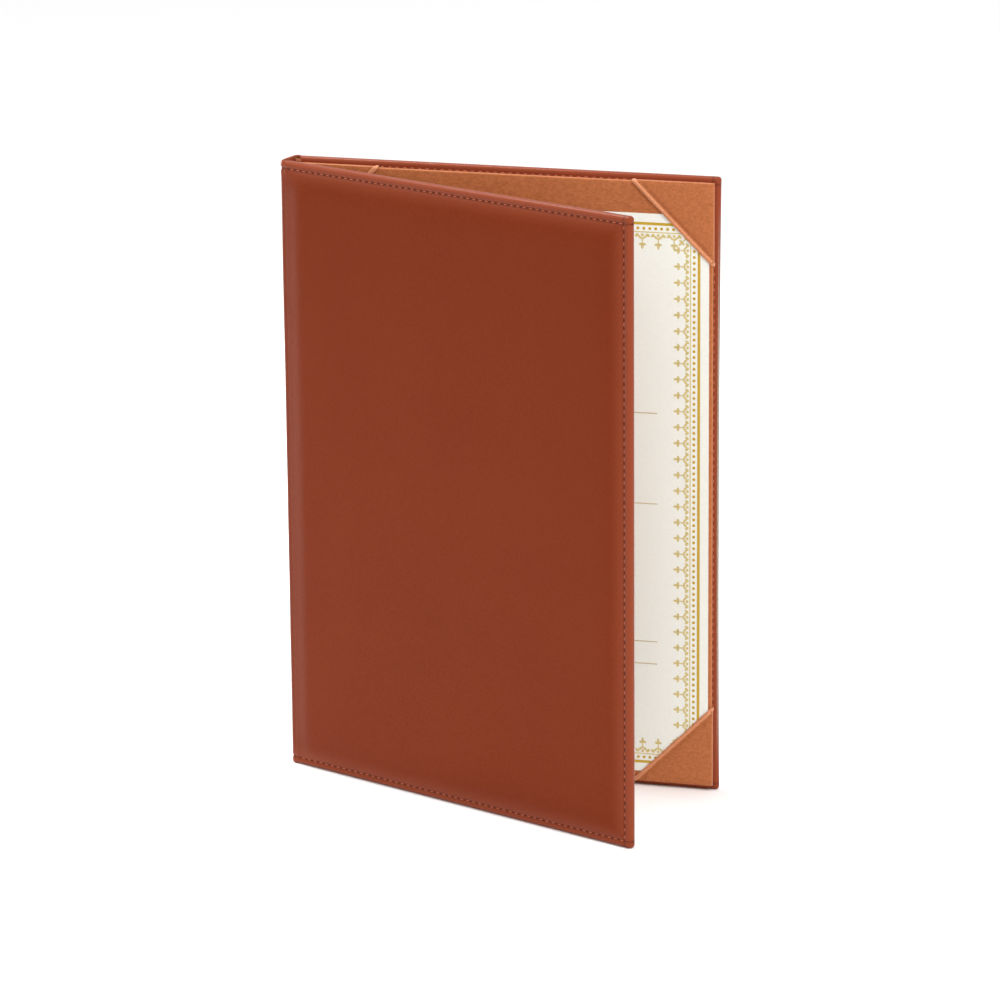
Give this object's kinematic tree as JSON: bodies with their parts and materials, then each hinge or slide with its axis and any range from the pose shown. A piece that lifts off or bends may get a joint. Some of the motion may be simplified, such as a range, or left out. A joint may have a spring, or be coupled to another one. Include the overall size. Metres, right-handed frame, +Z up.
{
  "type": "certificate folder",
  "caption": "Padded leather certificate folder, standing open, with a soft spine, sewn edges, corner pockets and a held sheet.",
  "frame": {"origin": "centre of the bottom of the whole standing folder's box, as it stands open on its bottom edges", "axes": "+Z up along the height, +X from the spine towards the free edge of the back cover, +Y out of the back cover's outer face; the front cover is swung towards -Y"},
  "size_m": [0.2296, 0.1046, 0.325],
  "materials": {
    "cover_leather": "smooth reddish brown leather, satin",
    "lining_cloth": "fine-napped tan lining, matt",
    "binding_fold": "folded tan edge, slightly polished",
    "sewing_thread": "twisted polyester thread, tone on tone",
    "certificate_paper": "ivory laid card, matt",
    "gold_print": "gold printing ink, satin",
    "greyboard": "uncoated greyboard, matt",
    "foam_padding": "thin foam, matt"
  },
  "bodies": {
    "back": {"back_leather": "cover_leather", "back_padding": "foam_padding", "back_board": "greyboard", "back_stitching": "sewing_thread", "back_panel_card": "greyboard", "back_panel_lining": "lining_cloth", "certificate": "certificate_paper", "pocket_bottom_left": "lining_cloth", "pocket_bottom_right": "lining_cloth", "pocket_top_left": "lining_cloth", "pocket_top_right": "lining_cloth", "binding_bottom_left": "binding_fold", "binding_bottom_right": "binding_fold", "binding_top_left": "binding_fold", "binding_top_right": "binding_fold"},
    "spine": {"spine_leather": "cover_leather", "spine_stiffener": "greyboard", "spine_lining": "lining_cloth", "spine_stitching": "sewing_thread"},
    "front": {"front_leather": "cover_leather", "front_padding": "foam_padding", "front_board": "greyboard", "front_stitching": "sewing_thread", "front_panel_card": "greyboard", "front_panel_lining": "lining_cloth"}
  },
  "joints": [
    {"name": "back_crease", "type": "hinge", "parent": "back", "child": "spine", "pos_m": [-0.11119, 0.05189, 0], "axis": [0, 0, -1], "range_deg": [-11.5, 78.5]},
    {"name": "front_crease", "type": "hinge", "parent": "spine", "child": "front", "pos_m": [-0.11441, 0.03601, 0], "axis": [0, 0, -1], "range_deg": [-11.5, 78.5]}
  ]
}
